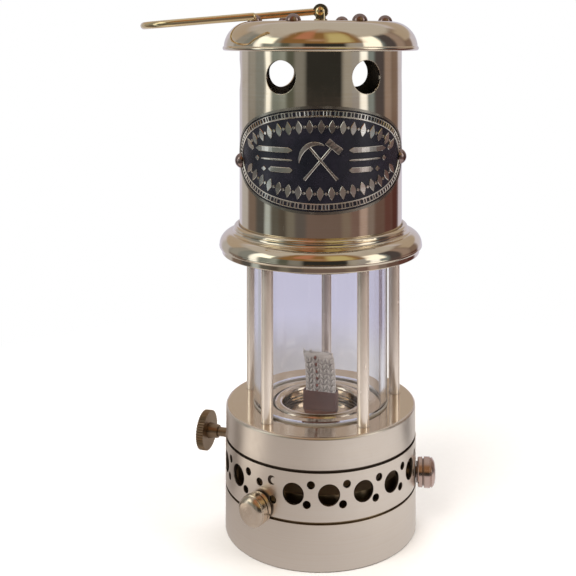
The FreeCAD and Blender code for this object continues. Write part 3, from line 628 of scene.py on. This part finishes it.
HAMMER_HALVES = (1.35, 1.35, 1.2, 1.35, 1.35)
PICK_MIDDLE = (-1.6, -1.2)
PICK_RADII = (6.364, 7.4)
PICK_ARC = (62, 180)
PICK_POINTS = 13
# Bars beside the tools: height, half-width and outer end. Each has a lozenge beyond its end.
BAR_START = 10.5
BARS = ((3.5, 1.0, 27.0), (-3.9, 1.0, 20.5), (-0.2, 0.35, 24.0))
LOZENGE_BEYOND = 2.2
LOZENGE_REACH = 1.1


class PlateRelief:
    """Raised ornament on the nameplate, drawn flat in millimetres and bent round the hood."""

    def __init__(self):
        low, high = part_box("nameplate")
        self.middle = (low.z + high.z) / 2
        self.half_high = (high.z - low.z) / 2 / MM
        self.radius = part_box("hood_tube")[1].y
        self.work = bmesh.new()

    def bend(self, across, up, depth):
        angle = across * MM / self.radius
        reach = self.radius + PLATE_FACE + depth
        return Vector((reach * math.sin(angle), -reach * math.cos(angle), self.middle + up * MM))

    def ribbon(self, centres, halves, closed=False):
        """Chamfered strip along a line of flat points, halves giving its half-width at each."""
        sunk, shoulder = -0.05 * MM, 0.55 * RELIEF
        stations = []
        last = len(centres) - 1
        for index, (across, up) in enumerate(centres):
            before = centres[index - 1] if closed or index else centres[index]
            after = centres[(index + 1) % len(centres)] if closed or index < last else centres[index]
            run = Vector((after[0] - before[0], after[1] - before[1])).normalized()
            side = Vector((-run.y, run.x))
            half = halves[index]
            top = max(half - CHAMFER, half * 0.35)
            left = ((-half, sunk), (-half, shoulder), (-top, RELIEF))
            right = ((top, RELIEF), (half, shoulder), (half, sunk))
            ring = []
            for reach, depth in left + right:
                place = self.bend(across + side.x * reach, up + side.y * reach, depth)
                ring.append(self.work.verts.new(place))
            stations.append(ring)
        pairs = list(zip(stations, stations[1:]))
        if closed:
            pairs.append((stations[-1], stations[0]))
        for first, second in pairs:
            for step in range(len(first)):
                follow = (step + 1) % len(first)
                self.work.faces.new((first[step], first[follow], second[follow], second[step]))
        if not closed:
            self.work.faces.new(list(reversed(stations[0])))
            self.work.faces.new(stations[-1])

    def oval(self, inset, angle):
        return ((PLATE_HALF_WIDTH - inset) * math.cos(angle), (self.half_high - inset) * math.sin(angle))

    def rail(self, inset, half):
        centres = [self.oval(inset, 2 * math.pi * k / OVAL_POINTS) for k in range(OVAL_POINTS)]
        self.ribbon(centres, [half] * OVAL_POINTS, closed=True)

    def spread(self, inset, count, start, end):
        """Points evenly spaced along part of an inset oval, each with its outward direction."""
        steps = 400
        fine = [start + (end - start) * k / steps for k in range(steps + 1)]
        points = [Vector(self.oval(inset, angle)) for angle in fine]
        travel = [0.0]
        for first, second in zip(points, points[1:]):
            travel.append(travel[-1] + (second - first).length)
        spots, index = [], 0
        for number in range(count):
            goal = travel[-1] * number / (count - 1)
            while index < steps - 1 and travel[index + 1] < goal:
                index += 1
            run = (points[index + 1] - points[index]).normalized()
            spots.append((points[index], Vector((run.y, -run.x))))
        return spots

    def stroke(self, start, end, halves):
        count = len(halves) - 1
        centres = [(start[0] + (end[0] - start[0]) * k / count, start[1] + (end[1] - start[1]) * k / count)
                   for k in range(count + 1)]
        self.ribbon(centres, halves)

    def ladder(self):
        """Two rails with rungs between them, round the whole plate."""
        for inset, half in LADDER_RAILS:
            self.rail(inset, half)
        for spot, out in self.spread(LADDER_INSET, RUNGS + 1, 0.0, 2 * math.pi)[:-1]:
            self.stroke(spot - out * RUNG_REACH, spot + out * RUNG_REACH, RUNG_HALVES)

    def leaves(self):
        """Row of upright leaves with beads between them, over and under the middle."""
        for start, end in LEAF_ARCS:
            spots = self.spread(LEAF_INSET, 2 * LEAVES - 1, math.radians(start), math.radians(end))
            for index, (spot, out) in enumerate(spots):
                reach, halves = (BEAD_REACH, BEAD_HALVES) if index % 2 else (LEAF_REACH, LEAF_HALVES)
                self.stroke(spot - out * reach, spot + out * reach, halves)

    def tools(self):
        """Crossed hammer and pick in the middle."""
        for side in (-1, 1):
            foot, top = ((side * across, up) for across, up in (HANDLE_FOOT, HANDLE_TOP))
            self.stroke(foot, top, HANDLE_HALVES)
        self.stroke(*HAMMER_ENDS, HAMMER_HALVES)
        start, end = (math.radians(angle) for angle in PICK_ARC)
        shares = [k / (PICK_POINTS - 1) for k in range(PICK_POINTS)]
        pick = []
        for share in shares:
            angle = start + (end - start) * share
            pick.append((PICK_MIDDLE[0] + PICK_RADII[0] * math.cos(angle),
                         PICK_MIDDLE[1] + PICK_RADII[1] * math.sin(angle)))
        self.ribbon(pick, [0.15 + 0.75 * math.sin(math.pi * share) for share in shares])

    def bars(self):
        """Bars with a lozenge beyond each, at both sides of the tools."""
        for side in (-1, 1):
            for up, half, outer in BARS:
                self.stroke((side * BAR_START, up), (side * outer, up), [0.2] + [half] * 9 + [0.2])
            for up, _, outer in BARS:
                near = outer + LOZENGE_BEYOND - LOZENGE_REACH
                far = outer + LOZENGE_BEYOND + LOZENGE_REACH
                self.stroke((side * near, up), (side * far, up), [0.1, 1.0, 0.1])


def build_nameplate():
    relief = PlateRelief()
    relief.ladder()
    relief.leaves()
    relief.tools()
    relief.bars()
    metal = brass("relief_metal", colour(0.86, 0.82, 0.74), colour(0.36, 0.31, 0.27), rough=0.14,
                  line_size=0.4 * MM, line_depth=0.008 * MM, stain_share=0.5, corner_shade=0.3, bevel=0.05 * MM)
    mesh = mesh_from(relief.work, "nameplate_relief")
    add_piece("nameplate_relief", mesh, "lamp", metal, smooth=False)


# ---------------------------------------------------------------- studio


# Floor: half its side, then the radius where the white card starts to fade and the one where it is gone
FLOOR_HALF = 3.0
FLOOR_CARD = 180 * MM
FLOOR_FADE = 300 * MM
# In mirrors the card is dimmer, from the first colour on the left to the second on the right
FLOOR_MIRRORED = (colour(0.46, 0.425, 0.41), colour(0.72, 0.70, 0.70))
FLOOR_SPAN = (-60 * MM, 100 * MM)
# Furniture on the card, seen only in mirrors: azimuth and half-width in degrees, nearest distance, colour
FLOOR_SECTORS = (
    (-101, 6, 45 * MM, colour(0.10, 0.08, 0.07)),
    (-76, 12, 75 * MM, colour(0.92, 0.86, 0.80)),
    (110, 7, 80 * MM, colour(0.11, 0.10, 0.10)),
)
# How far a sector's soft edge reaches outside and inside its half-width, in degrees, and its soft start
SECTOR_OUTSIDE = 6
SECTOR_INSIDE = 4
SECTOR_FADE = 50 * MM


def pale_floor():
    """White card under the lamp, dimmer in mirrors. Beyond it the camera sees white and mirrors the room."""
    paint = Paint("pale_floor")
    away = paint.vector("LENGTH", paint.place)
    level = paint.vector("NORMALIZE", paint.place)
    far = paint.between(away, FLOOR_CARD, FLOOR_FADE)
    side = paint.node("SeparateXYZ", {0: paint.place}).outputs["X"]
    dim = paint.mix(paint.between(side, *FLOOR_SPAN), *FLOOR_MIRRORED)
    for azimuth, half, start, tint in FLOOR_SECTORS:
        facing = paint.vector("DOT_PRODUCT", level, tuple(outward(azimuth)))
        share = paint.between(facing, cosine(half + SECTOR_OUTSIDE), cosine(half - SECTOR_INSIDE))
        share = paint.math("MULTIPLY", share, paint.between(away, start, start + SECTOR_FADE))
        dim = paint.mix(share, dim, tint)
    grain = paint.mix(paint.noise(400.0, 3.0), colour(0.91, 0.91, 0.91), colour(0.95, 0.95, 0.95))
    card = paint.node("BsdfDiffuse", {"Color": grain})
    mirrored = paint.node("Emission", {"Color": dim, "Strength": 1.0})
    glow = paint.node("Emission", {"Color": colour(1, 1, 1), "Strength": 1.0})
    path = paint.node("LightPath")
    near = paint.blend_shaders(path.outputs["Is Glossy Ray"], card, mirrored)
    beyond = paint.blend_shaders(path.outputs["Is Camera Ray"], paint.node("BsdfTransparent"), glow)
    return paint.finish(paint.blend_shaders(far, near, beyond).outputs[0])


def build_floor():
    work = bmesh.new()
    bmesh.ops.create_grid(work, x_segments=8, y_segments=8, size=FLOOR_HALF)
    mesh = bpy.data.meshes.new("floor")
    work.to_mesh(mesh)
    work.free()
    mesh.materials.append(pale_floor())
    floor = bpy.data.objects.new("floor", mesh)
    bpy.context.scene.collection.objects.link(floor)


# Lights: name, azimuth in degrees, height, distance, the panel's two sides, watts and tint
LIGHTS = (
    ("key", -40, 0.75, 0.75, (0.7, 0.7), 9.0, (1.0, 0.98, 0.95)),
    ("fill", 75, 0.45, 0.8, (0.6, 0.8), 5.0, (1.0, 0.96, 0.92)),
    ("back", 175, 0.6, 0.8, (0.9, 0.5), 5.0, (0.97, 0.97, 1.0)),
)
LAMP_MIDDLE = 100 * MM


def area_light(name, azimuth, height, distance, size, power, tint):
    """Soft light for the card, the wick and the fibre. The metal doesn't mirror it."""
    light = bpy.data.lights.new(name, "AREA")
    light.shape = "RECTANGLE"
    light.size, light.size_y = size
    light.energy = power
    light.color = tint
    lamp = bpy.data.objects.new(name, light)
    lamp.visible_glossy = False
    lamp.visible_transmission = False
    lamp.location = outward(azimuth) * distance + Vector((0, 0, height))
    aim = Vector((0, 0, LAMP_MIDDLE)) - lamp.location
    lamp.rotation_mode = "QUATERNION"
    lamp.rotation_quaternion = aim.to_track_quat("-Z", "Y")
    bpy.context.scene.collection.objects.link(lamp)


# What the metal mirrors. Strips of wall: azimuth, half-width and softness in degrees, the colour
# towards the floor, the colour at eye level. Later ones are painted over earlier ones.
FRONT = (colour(0.16, 0.12, 0.11), colour(0.03, 0.03, 0.028))
STRIPS = (
    (180, 50, 6, colour(0.64, 0.62, 0.74), colour(0.60, 0.58, 0.66)),
    (-134, 12, 6, colour(0.47, 0.46, 0.47), colour(0.47, 0.46, 0.47)),
    (-110, 10, 6, colour(0.19, 0.15, 0.13), colour(0.31, 0.31, 0.30)),
    (-92, 9, 6, colour(0.09, 0.09, 0.09), colour(0.24, 0.26, 0.26)),
    (-78, 6, 4, colour(0.45, 0.52, 0.55), colour(1.25, 1.30, 1.30)),
    (-65, 6, 6, colour(0.11, 0.11, 0.10), colour(0.24, 0.28, 0.27)),
    (-52, 5, 6, colour(0.09, 0.08, 0.07), colour(0.30, 0.34, 0.33)),
    (-40, 6, 6, colour(0.18, 0.17, 0.15), colour(0.10, 0.11, 0.09)),
    (-28, 5, 6, colour(0.11, 0.10, 0.10), colour(0.22, 0.22, 0.21)),
    (38, 6, 6, colour(0.21, 0.17, 0.145), colour(0.36, 0.35, 0.33)),
    (50, 6, 6, colour(0.19, 0.13, 0.12), colour(0.36, 0.36, 0.37)),
    (75, 6, 6, colour(0.22, 0.18, 0.17), colour(0.22, 0.27, 0.29)),
    (62, 5, 4, colour(0.42, 0.33, 0.31), colour(1.25, 1.30, 1.35)),
    (128, 9, 6, colour(0.09, 0.035, 0.03), colour(0.22, 0.16, 0.13)),
    (108, 8, 6, colour(0.12, 0.055, 0.05), colour(0.32, 0.25, 0.22)),
    (90, 7, 6, colour(0.14, 0.09, 0.08), colour(0.08, 0.07, 0.075)),
)
# Panels above eye level: azimuth, half-width, softness, lowest and highest sine of elevation, colour
PANELS = (
    (180, 60, 6, 0.26, 0.60, colour(0.44, 0.37, 0.30)),
    (-70, 11, 3, 0.30, 0.62, colour(1.50, 1.55, 1.40)),
    (64, 12, 3, 0.10, 0.88, colour(1.40, 1.38, 1.30)),
)
CEILING = colour(0.50, 0.475, 0.45)
CEILING_PANELS = (
    (0, 52, 10, 0.36, 0.96, colour(0.25, 0.14, 0.055)),
    (-24, 9, 8, 0.62, 0.96, colour(0.45, 0.20, 0.12)),
    (24, 14, 8, 0.42, 0.90, colour(0.52, 0.45, 0.22)),
    (-6, 8, 8, 0.50, 0.62, colour(0.40, 0.26, 0.17)),
)
# Sines of elevation: where the walls' lower colours give way to those at eye level, where the ceiling
# starts, the range of a strip, and how far a panel's foot and head are soft
EYE_LEVEL = (-0.16, -0.05)
CEILING_START = (0.60, 0.72)
ALL_HEIGHTS = (-2.0, 2.0)
FOOT_SOFT = 0.05
HEAD_SOFT = 0.08
# Least half-width of a panel's full colour, in degrees
NARROWEST = 0.5


class Room(Nodes):
    """The room that the metal mirrors: walls and windows by direction, in the world's own nodes."""

    def __init__(self):
        self.world = bpy.data.worlds.new("studio")
        super().__init__(self.world)
        direction = self.node("TexCoord").outputs["Generated"]
        self.level = self.vector("NORMALIZE", self.vector("MULTIPLY", direction, (1, 1, 0)))
        self.height = self.node("SeparateXYZ", {0: direction}).outputs["Z"]

    def panel(self, behind, azimuth, half, soft, low, high, tint):
        """Blends a panel over the colour behind it, centred on an azimuth and between two heights."""
        facing = self.vector("DOT_PRODUCT", self.level, tuple(outward(azimuth)))
        share = self.between(facing, cosine(half + soft), cosine(max(half - soft, NARROWEST)))
        foot = self.between(self.height, low - FOOT_SOFT, low + FOOT_SOFT)
        head = self.between(self.height, high - HEAD_SOFT, high + HEAD_SOFT, 1.0, 0.0)
        share = self.math("MULTIPLY", self.math("MULTIPLY", share, foot), head)
        return self.mix(share, behind, tint)

    def build(self):
        eye_level = self.between(self.height, *EYE_LEVEL)
        shade = self.mix(eye_level, *FRONT)
        for azimuth, half, soft, near_floor, level in STRIPS:
            tint = self.mix(eye_level, near_floor, level)
            shade = self.panel(shade, azimuth, half, soft, *ALL_HEIGHTS, tint)
        for panel in PANELS:
            shade = self.panel(shade, *panel)
        shade = self.mix(self.between(self.height, *CEILING_START), shade, CEILING)
        for panel in CEILING_PANELS:
            shade = self.panel(shade, *panel)
        mirror = self.node("Background", {"Color": shade, "Strength": 1.0})
        white = self.node("Background", {"Color": colour(1, 1, 1), "Strength": 1.0})
        path = self.node("LightPath")
        shader = self.blend_shaders(path.outputs["Is Camera Ray"], mirror, white)
        output = self.node("OutputWorld")
        self.tree.links.new(shader.outputs[0], output.inputs["Surface"])
        bpy.context.scene.world = self.world


# Camera: level, at the height of the vents, with the lens shifted down to the lamp
CAMERA_DISTANCE = 383.4 * MM
CAMERA_HEIGHT = 193.9 * MM
CAMERA_LENS = 59.6
CAMERA_SHIFT = (-0.0568, -0.434)
# How far the camera may stand from its spot with the shift kept, and where the shift is gone
SHIFT_KEPT = 20 * MM
SHIFT_GONE = 40 * MM


def build_camera():
    """Level camera whose lens shift holds only at this spot, so other views stay centred."""
    scene = bpy.context.scene
    camera = bpy.data.objects.new("camera", bpy.data.cameras.new("camera"))
    scene.collection.objects.link(camera)
    camera.location = (0, -CAMERA_DISTANCE, CAMERA_HEIGHT)
    camera.rotation_euler = (math.radians(90), 0, 0)
    camera.data.sensor_width = 36
    camera.data.lens = CAMERA_LENS
    camera.data.clip_start = 0.01
    scene.camera = camera
    spot = bpy.data.objects.new("camera_spot", None)
    spot.location = camera.location
    scene.collection.objects.link(spot)
    for field, value in zip(("shift_x", "shift_y"), CAMERA_SHIFT):
        curve = camera.data.driver_add(field)
        curve.driver.type = "AVERAGE"
        gap = curve.driver.variables.new()
        gap.type = "LOC_DIFF"
        gap.targets[0].id = camera
        gap.targets[1].id = spot
        for modifier in list(curve.modifiers):
            curve.modifiers.remove(modifier)
        for distance, shift in ((0.0, value), (SHIFT_KEPT, value), (SHIFT_GONE, 0.0)):
            curve.keyframe_points.insert(distance, shift).interpolation = "LINEAR"


def build_studio():
    build_floor()
    Room().build()
    for light in LIGHTS:
        area_light(*light)
    bpy.context.scene.view_settings.view_transform = "Standard"
    build_camera()


dress_base()
dress_burner()
dress_cage()
dress_bonnet()
dress_fasteners()
build_wick()
build_nameplate()
build_studio()
